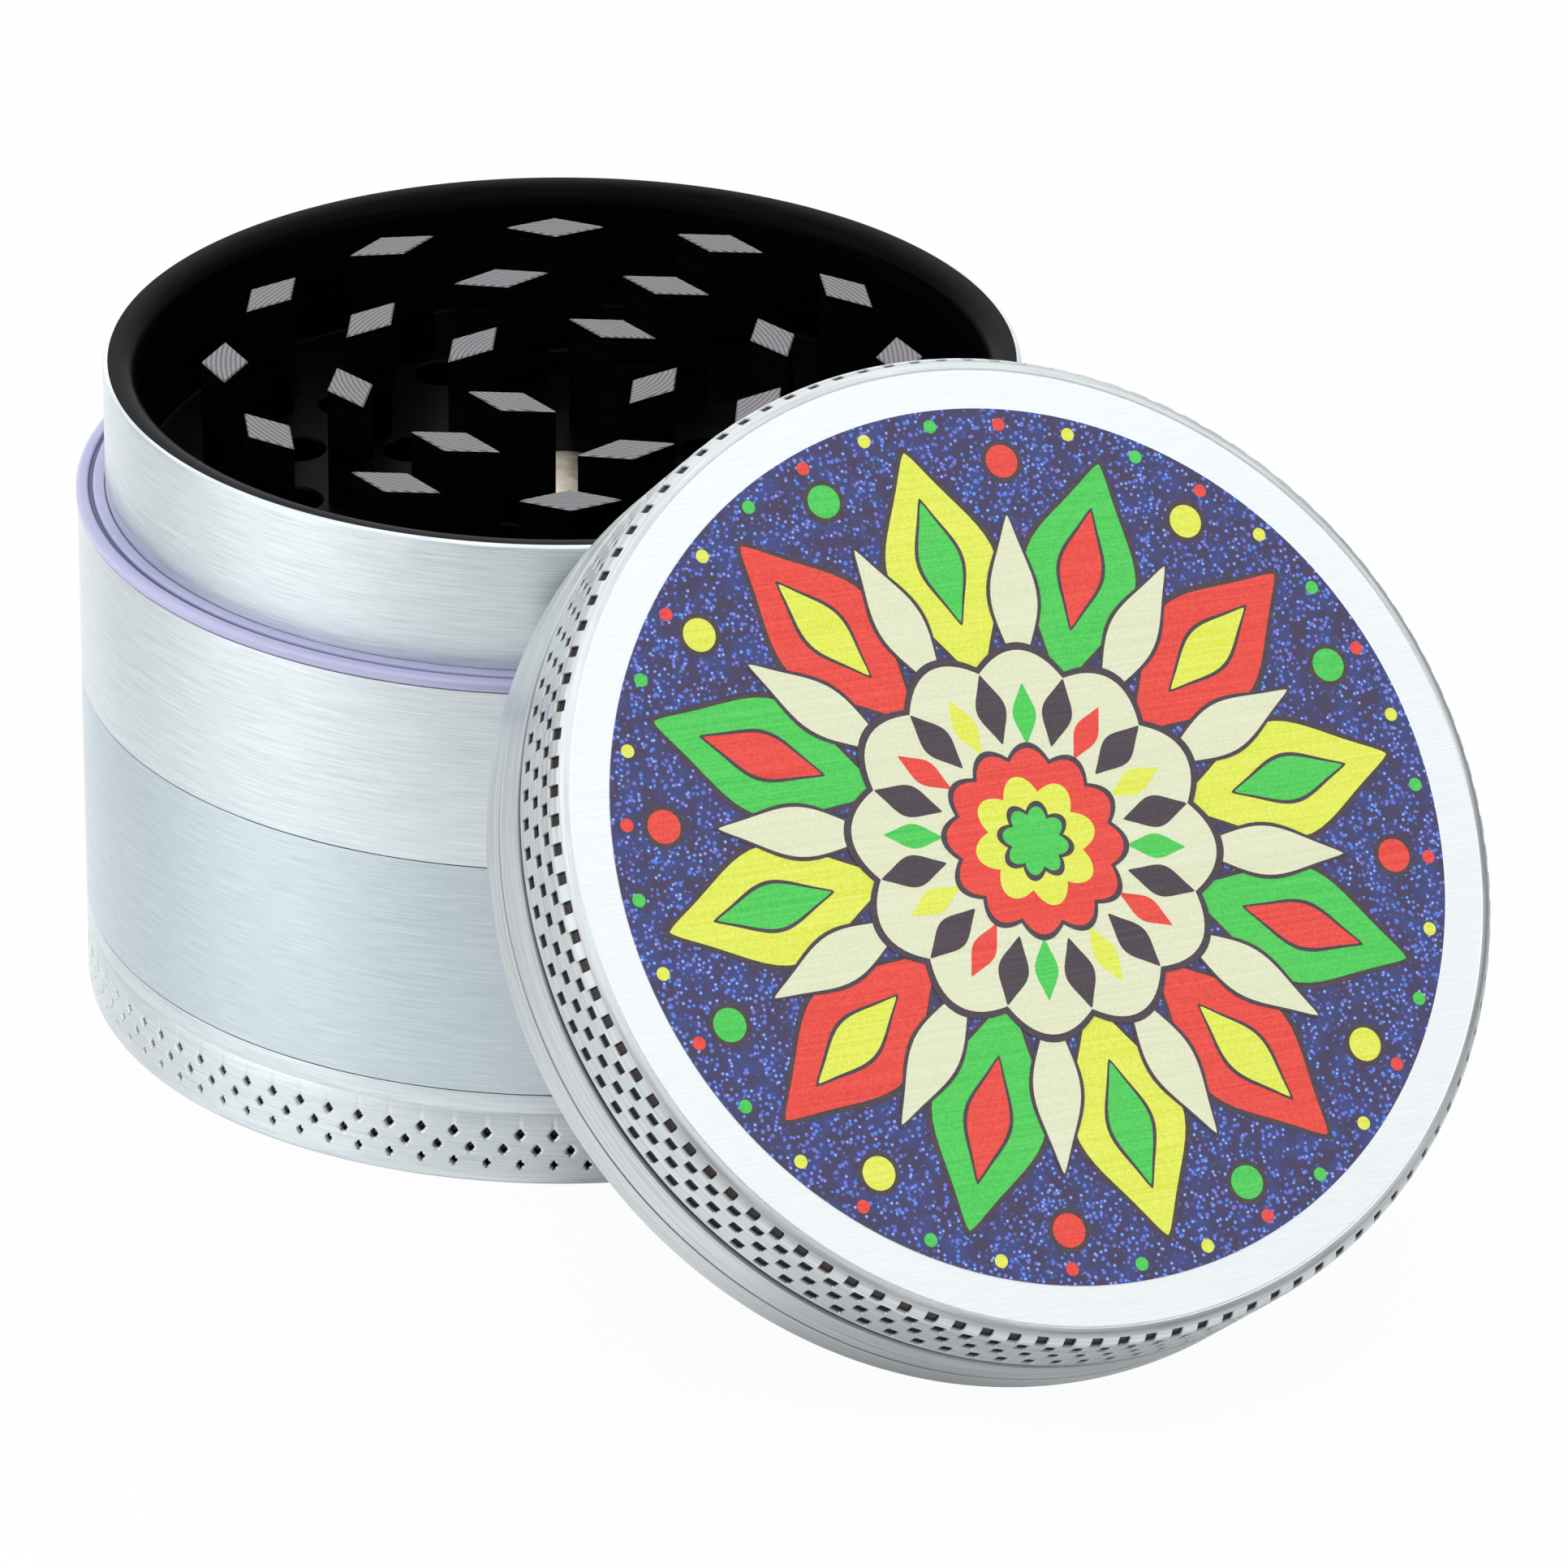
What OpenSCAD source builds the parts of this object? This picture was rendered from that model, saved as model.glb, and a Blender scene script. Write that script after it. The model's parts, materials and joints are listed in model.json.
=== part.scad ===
// Four-piece metal herb grinder, with its lid off and leaning on the open chamber.
// Origin: centre of the base, on the table. +Z runs up the stack, -Y is the front.

/* [Body] */
// Outer diameter of the lid, the chambers and the base
body_d = 50; // [46:0.5:60]
// Thickness of the base cup's floor
base_floor_t = 1.6; // [1.2:0.1:4]
// Height of the screen chamber's outer wall
screen_h = 12.7; // [11:0.1:25]
// Height of the space under the tooth chamber's floor
drop_space_h = 7.9; // [6:0.1:16]
// Gap left at each screwed seam
seam_gap = 0.05; // [0.02:0.01:0.2]
// Chamfer along the edges of each seam
seam_chamfer = 0.1; // [0.05:0.05:0.5]
// Radius of the base's lower edge
base_round = 0.5; // [0.3:0.1:0.9]

/* [Threads] */
// Length of each threaded spigot
thread_len = 3.2; // [2.4:0.1:5]
// Space left past the end of a spigot
thread_end_gap = 0.4; // [0.2:0.1:1]
// Wall outside each threaded bore
thread_wall = 2.4; // [1.8:0.1:4]
// Radial room between a spigot and its bore, for the thread ridges
thread_room = 0.45; // [0.3:0.05:0.7]
// Wall of each spigot
spigot_wall = 1.5; // [1:0.1:2.5]

/* [Screen] */
// Height of the screen above the seam of the base cup
screen_up = 1.0; // [0.6:0.1:3]
// Thickness of the ledge under the screen
ledge_t = 1.4; // [1:0.1:2.2]
// Width of the ledge under the screen
ledge_w = 2.5; // [1.5:0.1:4]
// Wall of the screen chamber above the ledge
screen_wall = 3.0; // [2.8:0.1:5]
// Thickness of the woven screen
mesh_t = 0.25; // [0.15:0.05:0.5]
// Height of the ring that holds the screen down
retainer_h = 1.2; // [0.8:0.1:2.5]
// Width of the ring that holds the screen down
retainer_w = 1.6; // [1:0.1:3]
// Gap between loose pieces
part_gap = 0.05; // [0.03:0.01:0.1]

/* [Grinding chamber] */
// Depth of the grinding chamber, from the rim to its floor
chamber_depth = 6.8; // [6:0.1:9]
// Thickness of the floor between the teeth and the screen chamber
floor_t = 2.4; // [2.2:0.1:4]
// Wall of the neck that the lid turns on
neck_wall = 1.75; // [1.2:0.05:2.5]
// Height of the neck above the grip ring
neck_h = 6.75; // [5.5:0.05:7.2]
// Chamfer around the top of the neck
rim_chamfer = 0.35; // [0.2:0.05:0.6]
// Fillet between the chamber's floor and wall
floor_fillet = 0.3; // [0.1:0.05:0.3]

/* [Chamber teeth] */
// Length of a diamond tooth, around the chamber
tooth_l = 5.1; // [3.5:0.1:5.6]
// Width of a diamond tooth, across the ring
tooth_w = 2.4; // [1.6:0.1:2.6]
// How far the outer teeth's tips lie below the rim
tooth_below_rim = 0.3; // [0.05:0.05:1]
// How much lower the tips of each ring lie than those of the ring outside it
tooth_step_down = 0.15; // [0:0.05:0.3]
// From the chamber's wall to the middle of the outer ring of teeth
ring_inset = 4.5; // [4.1:0.1:4.8]
// Distance from one ring of teeth to the next
ring_step = 6.0; // [5.8:0.1:6.2]
// Teeth in the outer ring
outer_teeth = 12; // [8:1:12]
// Teeth in the middle ring
middle_teeth = 8; // [5:1:8]
// Teeth in the inner ring
inner_teeth = 4; // [3:1:4]
// Angle of the outer ring's first tooth
outer_turn = 1.3; // [0:0.1:30]
// Angle of the middle ring's first tooth
middle_turn = 16.5; // [0:0.1:45]
// Angle of the inner ring's first tooth
inner_turn = 61; // [0:0.1:90]

/* [Drop holes] */
// Diameter of the holes that let the ground leaf fall
drop_hole_d = 3.2; // [2.4:0.1:3.4]
// Drop holes between the outer and middle teeth
outer_holes = 14; // [10:1:18]
// Drop holes between the middle and inner teeth
inner_holes = 8; // [6:1:10]

/* [Grip ring] */
// Height of the plastic ring around the foot of the neck, with the gap below it
grip_h = 0.65; // [0.5:0.05:1.2]
// How far the plastic ring stands out past the body
grip_out = 0.05; // [0:0.05:0.5]
// Rounding of the plastic ring's upper edge
grip_round = 0.25; // [0.1:0.05:0.4]
// Width of the groove in the top of the plastic ring
grip_groove_w = 0.35; // [0.15:0.05:0.5]
// Depth of the groove in the top of the plastic ring
grip_groove_t = 0.2; // [0.1:0.05:0.35]

/* [Lid] */
// Thickness of the lid's top plate
lid_top_t = 2.0; // [1.6:0.1:4]
// Wall of the lid's skirt
lid_wall = 1.25; // [1:0.05:1.8]
// Radial clearance between the lid's skirt and the neck
lid_clear = 0.2; // [0.1:0.05:0.4]
// Room between the lid's ceiling and the rim when the lid is on
lid_roof_gap = 0.25; // [0.2:0.05:2]
// How far the lid's tooth tips lie inside its open end
lid_tooth_recess = 1.9; // [1.6:0.1:2.8]
// Height of the rounding around the face
face_round_h = 1.1; // [0.5:0.1:1.5]
// Width of the rounding around the face
face_round_w = 0.8; // [0.4:0.1:1.2]
// Height of the wide groove below the knurled band, above the open end
wide_groove_z = 4.25; // [3.5:0.05:4.4]
// Width of the wide groove
wide_groove_w = 0.6; // [0.3:0.05:0.8]
// Depth of the wide groove
wide_groove_t = 0.25; // [0.1:0.05:0.4]
// Height of the thin groove above the open end
thin_groove_z = 1.7; // [1:0.05:2.5]
// Width of the thin groove
thin_groove_w = 0.18; // [0.1:0.02:0.4]
// Depth of the thin groove
thin_groove_t = 0.12; // [0.05:0.01:0.3]
// Diameter of the printed disc on the face
print_d = 44.2; // [30:0.2:46]
// Thickness of the printed disc
print_t = 0.05; // [0.03:0.01:0.2]

/* [Magnets] */
// Diameter of the two magnets
magnet_d = 6.0; // [4:0.1:6.4]
// Thickness of the two magnets
magnet_t = 1.6; // [1:0.1:1.8]
// Length of the boss that holds the lid's magnet
boss_len = 3.0; // [2.4:0.1:3.8]
// Wall of the boss around the lid's magnet
boss_wall = 0.6; // [0.4:0.05:0.8]

/* [Leaning lid] */
// Angle between the lid's axis and the stack's axis
lean_angle = 49.5; // [40:0.5:60]
// Direction in which the lid lies from the stack, seen from above
lean_dir = -61.6; // [-120:0.1:0]
// How far the lid sits to one side of the line that it leans along
lean_side = 3.1; // [0:0.1:6]
// Air left between the leaning lid and what it touches
lean_gap = 0.12; // [0.05:0.01:0.4]

/* [Hidden] */
$fn = 96;
EPS = 0.01;
body_r = body_d / 2;

// Heights of the seams, floors and rims, from the table up
base_h = base_floor_t + thread_end_gap + thread_len;
screen_z = base_h + screen_up;
tooth_z = base_h + screen_h;
floor_z = tooth_z + drop_space_h + floor_t;
rim_z = floor_z + chamber_depth;
grip_top_z = rim_z - neck_h;
shoulder_z = grip_top_z - grip_h;

// Radii that pass from one piece to the next
bore_r = body_r - thread_wall;
spigot_r = bore_r - thread_room;
spigot_in_r = spigot_r - spigot_wall;
screen_room_r = body_r - screen_wall;
ledge_in_r = screen_room_r - ledge_w;
lid_bore_r = body_r - lid_wall;
neck_r = lid_bore_r - lid_clear;
chamber_r = neck_r - neck_wall;
floor_r = min(spigot_in_r, chamber_r - floor_fillet);
magnet_r = magnet_d / 2;

// Rings of teeth: the lid's rings run half a step outside the chamber's
outer_ring_r = chamber_r - ring_inset;
middle_ring_r = outer_ring_r - ring_step;
inner_ring_r = middle_ring_r - ring_step;
lid_ring_shift = ring_step / 2;
LID_OUTER_TEETH = 14;
LID_MIDDLE_TEETH = 10;
LID_INNER_TEETH = 6;

// The lid in its own frame: open end at z = 0, face at z = lid_h
lid_depth = neck_h + lid_roof_gap;
lid_h = lid_depth + lid_top_t;
lid_edge = 0.15;

// Where the lid leans: its open end rests on the table at the foot and on the rim
// at the top, where the top edge of the neck dips into the open mouth until it
// meets the bore of the skirt
lid_z = body_r * sin(lean_angle) + lean_gap;
rim_above = rim_z - lid_z;
rim_top_r = neck_r - rim_chamfer;
mouth_up = rim_above / sin(lean_angle);
mouth_side = sqrt(max(0, pow(lid_bore_r - lean_gap, 2) - pow(mouth_up, 2)));
meet_side = max(0, mouth_side - lean_side);
meet_reach = sqrt(pow(rim_top_r, 2) - pow(min(meet_side, rim_top_r), 2));
lid_reach = meet_reach + rim_above / tan(lean_angle) + lean_gap;
lid_x = lid_reach * cos(lean_dir) - lean_side * sin(lean_dir);
lid_y = lid_reach * sin(lean_dir) + lean_side * cos(lean_dir);

METAL = [0.85, 0.88, 0.90];
SATIN = [0.78, 0.83, 0.87];
COATED = [0.06, 0.06, 0.07];
STEEL = [0.70, 0.70, 0.72];
PLATED = [0.90, 0.85, 0.78];
LAVENDER = [0.76, 0.77, 0.87];
PRINT = [0.24, 0.26, 0.48];

// Points of an elliptical arc about [cx, cy], from angle a0 to a1
function arc(cx, cy, rx, ry, a0, a1, steps = 6) = [
    for (i = [0 : steps])
        let (a = a0 + (a1 - a0) * i / steps)
        [cx + rx * cos(a), cy + ry * sin(a)]
];

// A groove of given width and depth cut into an outer wall of radius r, from z up
function groove(r, z, width, depth) = [
    [r, z],
    [r - depth, z + depth / 4],
    [r - depth, z + width - depth / 4],
    [r, z + width]
];

// Solid of revolution from an outline of [radius, height] points
module turned(outline) {
    rotate_extrude()
        polygon(outline);
}

// One upright diamond tooth, its long diagonal along Y
module tooth(height) {
    linear_extrude(height)
        polygon([
            [-tooth_w / 2, 0],
            [0, -tooth_l / 2],
            [tooth_w / 2, 0],
            [0, tooth_l / 2]
        ]);
}

// A ring of equal teeth
module tooth_ring(count, radius, turn, height) {
    for (i = [0 : count - 1])
        rotate(turn + i * 360 / count)
            translate([radius, 0, 0])
                tooth(height);
}

// A ring of drilled holes through the floor
module hole_ring(count, radius) {
    for (i = [0 : count - 1])
        rotate((i + 0.5) * 360 / count)
            translate([radius, 0, floor_z - floor_t - 1])
                cylinder(d = drop_hole_d, h = floor_t + 2);
}

// Puts a piece of the lid where the lid leans
module leaned() {
    translate([lid_x, lid_y, lid_z])
        rotate([0, lean_angle, lean_dir])
            children();
}

// Shallow cup that catches the finest dust, with a threaded bore
module base_cup() {
    color(METAL)
        turned(concat(
            [[0, 0]],
            arc(body_r - base_round, base_round, base_round, base_round, -90, 0),
            [
                [body_r, base_h - seam_chamfer],
                [body_r - seam_chamfer, base_h],
                [bore_r + seam_chamfer, base_h],
                [bore_r, base_h - seam_chamfer],
                [bore_r, base_floor_t],
                [0, base_floor_t]
            ]
        ));
}

// Chamber that the ground leaf falls into, with the screen's ledge and a spigot
// for the base cup
module screen_chamber() {
    z0 = base_h + seam_gap;
    spigot_z = base_h - thread_len;
    bore_z = tooth_z - thread_len - thread_end_gap;
    color(SATIN)
        turned([
            [spigot_in_r, spigot_z],
            [spigot_r - seam_chamfer, spigot_z],
            [spigot_r, spigot_z + seam_chamfer],
            [spigot_r, z0],
            [body_r - seam_chamfer, z0],
            [body_r, z0 + seam_chamfer],
            [body_r, tooth_z - seam_chamfer],
            [body_r - seam_chamfer, tooth_z],
            [bore_r + seam_chamfer, tooth_z],
            [bore_r, tooth_z - seam_chamfer],
            [bore_r, bore_z],
            [screen_room_r, bore_z],
            [screen_room_r, screen_z],
            [ledge_in_r, screen_z],
            [ledge_in_r, screen_z - ledge_t],
            [spigot_in_r, screen_z - ledge_t]
        ]);
}

// Woven screen that lets only fine dust through
module screen_mesh() {
    color(STEEL)
        translate([0, 0, screen_z + part_gap])
            cylinder(r = screen_room_r - part_gap, h = mesh_t);
}

// Ring that holds the screen on its ledge
module screen_retaining_ring() {
    r1 = screen_room_r - part_gap;
    r0 = r1 - retainer_w;
    z0 = screen_z + part_gap + mesh_t;
    color(STEEL)
        turned([
            [r0, z0],
            [r1, z0],
            [r1, z0 + retainer_h],
            [r0 + retainer_h / 3, z0 + retainer_h],
            [r0, z0 + retainer_h * 2 / 3]
        ]);
}

// Outline of the tooth chamber's wall: spigot, body, shoulder, neck, edge of the floor
function tooth_chamber_outline() = concat(
    [
        [floor_r, floor_z - floor_t],
        [spigot_in_r, floor_z - floor_t],
        [spigot_in_r, tooth_z - thread_len],
        [spigot_r - seam_chamfer, tooth_z - thread_len],
        [spigot_r, tooth_z - thread_len + seam_chamfer],
        [spigot_r, tooth_z + seam_gap],
        [body_r - seam_chamfer, tooth_z + seam_gap],
        [body_r, tooth_z + seam_gap + seam_chamfer],
        [body_r, shoulder_z - seam_chamfer],
        [body_r - seam_chamfer, shoulder_z],
        [neck_r, shoulder_z],
        [neck_r, rim_z - rim_chamfer],
        [neck_r - rim_chamfer, rim_z],
        [chamber_r, rim_z]
    ],
    arc(chamber_r - floor_fillet, floor_z + floor_fillet, floor_fillet, floor_fillet, 0, -90, 3),
    [[floor_r, floor_z]]
);

// Wall of the grinding chamber, with a spigot below and the neck that the lid turns on
module tooth_chamber() {
    color(METAL)
        turned(tooth_chamber_outline());
}

// Floor of the grinding chamber, drilled between the rings of teeth, in one with the
// wall around it
module chamber_floor() {
    color(COATED)
        difference() {
            translate([0, 0, floor_z - floor_t])
                cylinder(r = floor_r, h = floor_t);
            hole_ring(outer_holes, middle_ring_r + lid_ring_shift);
            hole_ring(inner_holes, inner_ring_r + lid_ring_shift);
            translate([0, 0, floor_z - magnet_t - part_gap])
                cylinder(r = magnet_r + part_gap, h = magnet_t + 1);
        }
}

// Three rings of diamond teeth that stand on the chamber's floor
module chamber_teeth() {
    outer_h = chamber_depth - tooth_below_rim;
    middle_h = outer_h - tooth_step_down;
    inner_h = middle_h - tooth_step_down;
    color(COATED)
        translate([0, 0, floor_z]) {
            tooth_ring(outer_teeth, outer_ring_r, outer_turn, outer_h);
            tooth_ring(middle_teeth, middle_ring_r, middle_turn, middle_h);
            tooth_ring(inner_teeth, inner_ring_r, inner_turn, inner_h);
        }
}

// Magnet let into the middle of the chamber's floor
module chamber_magnet() {
    color(PLATED)
        translate([0, 0, floor_z - magnet_t])
            cylinder(r = magnet_r, h = magnet_t);
}

// Thin plastic ring around the foot of the neck, on which the lid turns, with a
// groove along the middle of its top
module grip_ring() {
    r0 = neck_r + part_gap;
    r1 = body_r + grip_out;
    z0 = shoulder_z + part_gap;
    groove_r = (r0 + r1) / 2;
    edge = 0.1;
    color(LAVENDER)
        turned(concat(
            [
                [r0, z0],
                [r1 - edge, z0],
                [r1, z0 + edge]
            ],
            arc(r1 - grip_round, grip_top_z - grip_round, grip_round, grip_round, 0, 90, 4),
            [
                [groove_r + grip_groove_w / 2, grip_top_z],
                [groove_r + grip_groove_w / 4, grip_top_z - grip_groove_t],
                [groove_r - grip_groove_w / 4, grip_top_z - grip_groove_t],
                [groove_r - grip_groove_w / 2, grip_top_z],
                [r0, grip_top_z]
            ]
        ));
}

// Outline of the lid in its own frame: skirt, grooves, rounded face, ceiling
function lid_outline() = concat(
    [
        [0, lid_depth],
        [lid_bore_r, lid_depth],
        [lid_bore_r, lid_edge],
        [lid_bore_r + lid_edge, 0],
        [body_r - lid_edge, 0],
        [body_r, lid_edge]
    ],
    groove(body_r, thin_groove_z, thin_groove_w, thin_groove_t),
    groove(body_r, wide_groove_z, wide_groove_w, wide_groove_t),
    arc(
        body_r - face_round_w, lid_h - face_round_h,
        face_round_w, face_round_h, 0, 90
    ),
    [[0, lid_h]]
);

// Lid: a skirt that slips over the neck, a top plate and a boss for the magnet
module lid() {
    boss_r = magnet_r + part_gap + boss_wall;
    boss_z = lid_depth - boss_len;
    color(METAL)
        leaned()
            difference() {
                union() {
                    turned(lid_outline());
                    translate([0, 0, boss_z])
                        cylinder(r = boss_r, h = boss_len + EPS);
                }
                translate([0, 0, boss_z - 1])
                    cylinder(r = magnet_r + part_gap, h = magnet_t + part_gap + 1);
            }
}

// Three rings of teeth under the lid that pass between the chamber's rings
module lid_teeth() {
    tooth_h = lid_depth - lid_tooth_recess;
    color(COATED)
        leaned()
            translate([0, 0, lid_tooth_recess]) {
                tooth_ring(LID_OUTER_TEETH, outer_ring_r + lid_ring_shift, 0, tooth_h);
                tooth_ring(LID_MIDDLE_TEETH, middle_ring_r + lid_ring_shift, 0, tooth_h);
                tooth_ring(LID_INNER_TEETH, inner_ring_r + lid_ring_shift, 0, tooth_h);
            }
}

// Magnet in the boss under the lid
module lid_magnet() {
    color(PLATED)
        leaned()
            translate([0, 0, lid_depth - boss_len])
                cylinder(r = magnet_r, h = magnet_t);
}

// Printed disc on the lid's face
module lid_print() {
    color(PRINT)
        leaned()
            translate([0, 0, lid_h])
                cylinder(d = print_d, h = print_t);
}

base_cup();
screen_chamber();
screen_mesh();
screen_retaining_ring();
tooth_chamber();
chamber_floor();
chamber_teeth();
chamber_magnet();
grip_ring();
lid();
lid_teeth();
lid_magnet();
lid_print();
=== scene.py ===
import json
import math

import bmesh
import bpy
import numpy as np
from mathutils import Matrix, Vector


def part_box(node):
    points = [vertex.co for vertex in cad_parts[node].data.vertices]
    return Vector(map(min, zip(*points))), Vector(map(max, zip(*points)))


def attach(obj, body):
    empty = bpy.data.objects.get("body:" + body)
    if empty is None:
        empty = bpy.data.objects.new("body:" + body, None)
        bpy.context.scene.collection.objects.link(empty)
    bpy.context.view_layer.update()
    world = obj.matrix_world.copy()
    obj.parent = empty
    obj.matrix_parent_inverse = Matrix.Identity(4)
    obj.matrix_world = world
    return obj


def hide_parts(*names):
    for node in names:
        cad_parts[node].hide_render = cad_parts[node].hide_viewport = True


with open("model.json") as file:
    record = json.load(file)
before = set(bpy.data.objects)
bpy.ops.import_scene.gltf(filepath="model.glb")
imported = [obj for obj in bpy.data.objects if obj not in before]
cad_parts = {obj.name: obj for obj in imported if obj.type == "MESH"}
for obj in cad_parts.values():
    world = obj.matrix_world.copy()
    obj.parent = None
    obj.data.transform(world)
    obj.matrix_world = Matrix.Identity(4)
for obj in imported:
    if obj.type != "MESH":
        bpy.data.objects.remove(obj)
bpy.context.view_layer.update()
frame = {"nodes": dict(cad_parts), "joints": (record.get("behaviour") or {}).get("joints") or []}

# A four-piece herb grinder, open: base cup, screen chamber and tooth chamber in a
# stack, and the lid leaning on them. Every length below is in millimetres, in the
# row's frame, and becomes metres where a mesh is made.
MM = 0.001
TURN = 2 * math.pi


# ---------------------------------------------------------------- sizes

def box_mm(node):
    """Lowest and highest corner of a CAD node."""
    low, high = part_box(node)
    return np.array(low) / MM, np.array(high) / MM


def unit(vector):
    return np.array(vector) / np.linalg.norm(vector)


base_top = box_mm("base_cup")[1]
screen_low, screen_top = box_mm("screen_chamber")
tooth_low, tooth_top = box_mm("tooth_chamber")
grip_low, grip_top = box_mm("grip_ring")
tips_low, tips_top = box_mm("chamber_teeth")
magnet_low, magnet_top = box_mm("chamber_magnet")
weave_low, weave_top = box_mm("screen_mesh")
keeper_low, keeper_top = box_mm("screen_retaining_ring")

BODY_R = base_top[0]
BASE_TOP = base_top[2]
SCREEN_TOP = screen_top[2]
FLOOR_Z = tips_low[2]
RIM_Z = tooth_top[2]
SEAM_GAP = 0.05
EDGE = 0.06                 # tiny rounding left on every turned edge

BASE_FLOOR = 1.6
THREAD_WALL = 2.4
THREAD_ROOM = 0.45
THREAD_PITCH = 1.25
THREAD_RIDGE = 0.19
SPIGOT_WALL = 1.5
BORE_R = BODY_R - THREAD_WALL
SPIGOT_R = BORE_R - THREAD_ROOM
SPIGOT_IN_R = SPIGOT_R - SPIGOT_WALL

SCREEN_ROOM_R = BODY_R - 3.0
LEDGE_IN_R = SCREEN_ROOM_R - 2.5
LEDGE_T = 1.4

LID_BORE_R = BODY_R - 1.25
NECK_R = LID_BORE_R - 0.2
CHAMBER_R = NECK_R - 1.75
FLOOR_T = 2.4
SHOULDER_Z = grip_low[2] - 0.05
RIM_EDGE = 0.25             # bare rounded edge between the coated rim and the neck
RIM_ROUND = 1.25            # rounding of the coated rim towards the inside

TOOTH_HALF_L = 2.55
TOOTH_HALF_W = 1.2
TOOTH_EDGE = 0.07
TOOTH_STEP_DOWN = 0.15      # each ring's tips lie that much lower than the next one out
RING_STEP = 6.0
TOOTH_RINGS = (             # teeth in a ring, its radius, the first tooth's angle
    (12, CHAMBER_R - 4.5, 1.3),
    (8, CHAMBER_R - 4.5 - RING_STEP, 16.5),
    (4, CHAMBER_R - 4.5 - 2 * RING_STEP, 61.0),
)
LID_TOOTH_RINGS = (
    (14, TOOTH_RINGS[0][1] + RING_STEP / 2, 0.0),
    (10, TOOTH_RINGS[1][1] + RING_STEP / 2, 0.0),
    (6, TOOTH_RINGS[2][1] + RING_STEP / 2, 0.0),
)
DROP_HOLE_R = 1.6
OUTER_HOLES = 14
INNER_HOLES = 8
MAGNET_R = magnet_top[0]

AROUND = 448                # steps round a plain turned surface

# The lid's own frame: origin in the middle of its open end, z out through its face
lid_joint = next(j for j in frame["joints"] if j["name"] == "lid_turn")
LID_ORIGIN = np.array(lid_joint["pos_m"]) / MM
lid_z = unit(lid_joint["axis"])
lid_x = unit(lid_z * lid_z[2] - np.array([0, 0, 1]))
LID_AXES = np.array([lid_x, np.cross(lid_z, lid_x), lid_z])


def lid_box(node):
    """Lowest and highest corner of a CAD node in the lid's own frame."""
    corners = np.array([v.co for v in frame["nodes"][node].data.vertices]) / MM
    local = (corners - LID_ORIGIN) @ LID_AXES.T
    return local.min(0), local.max(0)


lid_tips_low, lid_tips_top = lid_box("lid_teeth")
LID_H = lid_box("lid")[1][2]
LID_DEPTH = lid_tips_top[2]
LID_TIPS_Z = lid_tips_low[2]
lid_magnet_low, lid_magnet_top = lid_box("lid_magnet")
PRINT_R = lid_box("lid_print")[1][0]
PRINT_Z = lid_box("lid_print")[1][2]
FACE_ROUND_H = 1.1
FACE_ROUND_W = 0.8


# ---------------------------------------------------------------- surfaces

def rounded(corners, steps=4):
    """Outline of [radius, height] points. A corner with a third number, the length of
    its rounding, becomes a quadratic curve (1-t)^2 P + 2t(1-t) corner + t^2 Q."""
    out = []
    for i, corner in enumerate(corners):
        here = np.array(corner[:2], float)
        reach = corner[2] if len(corner) > 2 else 0
        if not reach:
            out.append(here[None])
            continue
        before = here + reach * unit(np.array(corners[i - 1][:2]) - here)
        after = here + reach * unit(np.array(corners[i + 1][:2]) - here)
        t = np.linspace(0, 1, steps + 1)[:, None]
        out.append((1 - t) ** 2 * before + 2 * t * (1 - t) * here + t ** 2 * after)
    return np.concatenate(out)


def steps_round(count=AROUND):
    """Equal angles round a turned piece, the seam at angle 0."""
    return np.arange(count) * TURN / count


def turned(outline, angles=None, push=None):
    """Surface of revolution on a grid of angle a by step along an outline: the point is
    ((r + push) cos a, (r + push) sin a, z), where push(a, r, z) is in millimetres."""
    a = (steps_round() if angles is None else angles)[:, None]
    r, z = outline.T
    radius = r + (0 if push is None else push(a, r, z)) + 0 * a
    return np.stack([radius * np.cos(a), radius * np.sin(a), z + 0 * a], -1)


def grid_faces(rows, columns, wrap):
    """Four-sided faces of a grid, joined to its first row again where it wraps."""
    i = np.arange(rows if wrap else rows - 1)[:, None]
    j = np.arange(columns - 1)[None]
    after = (i + 1) % rows
    faces = [i * columns + j, after * columns + j, after * columns + j + 1,
             i * columns + j + 1]
    return np.stack(faces, -1)


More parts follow.
